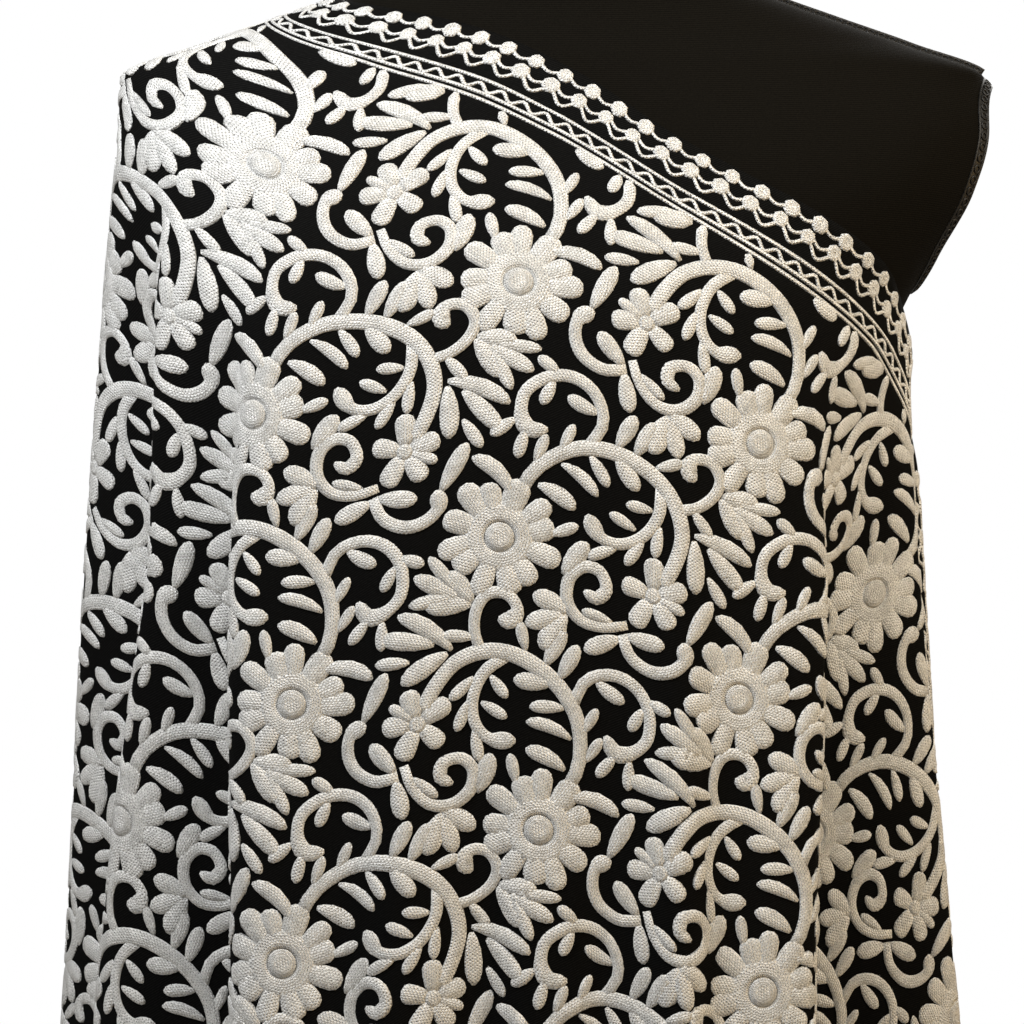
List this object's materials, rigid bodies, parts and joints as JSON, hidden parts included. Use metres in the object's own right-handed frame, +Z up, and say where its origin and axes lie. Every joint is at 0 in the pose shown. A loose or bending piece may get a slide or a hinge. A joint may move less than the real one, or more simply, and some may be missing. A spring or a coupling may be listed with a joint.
{
  "type": "embroidered shawl on limbless dress form",
  "caption": "Long rectangular shawl of dark cloth, embroidered all over, draped from one shoulder of a limbless dress form on a pole stand.",
  "frame": {"origin": "centre of the stand base's underside, on the pole's axis", "axes": "+Z up the pole, -Y towards the front of the form, +X towards the bare shoulder"},
  "size_m": [0.4637, 0.3429, 1.56],
  "materials": {
    "embroidered_cloth": "fine black twill, covered with chain stitch in ivory thread",
    "form_knit": "matt black jersey",
    "form_braid": "black looped braid",
    "cap_wood": "dark stain under satin varnish",
    "stand_metal": "satin black powder coat"
  },
  "bodies": {
    "root": {"shawl_back": "embroidered_cloth", "shawl_shoulder": "embroidered_cloth", "shawl_front": "embroidered_cloth", "dress_form": "form_knit", "shoulder_braid": "form_braid", "arm_braid": "form_braid", "neck_cap": "cap_wood", "pole_socket": "stand_metal", "pole": "stand_metal", "base": "stand_metal"}
  },
  "joints": []
}
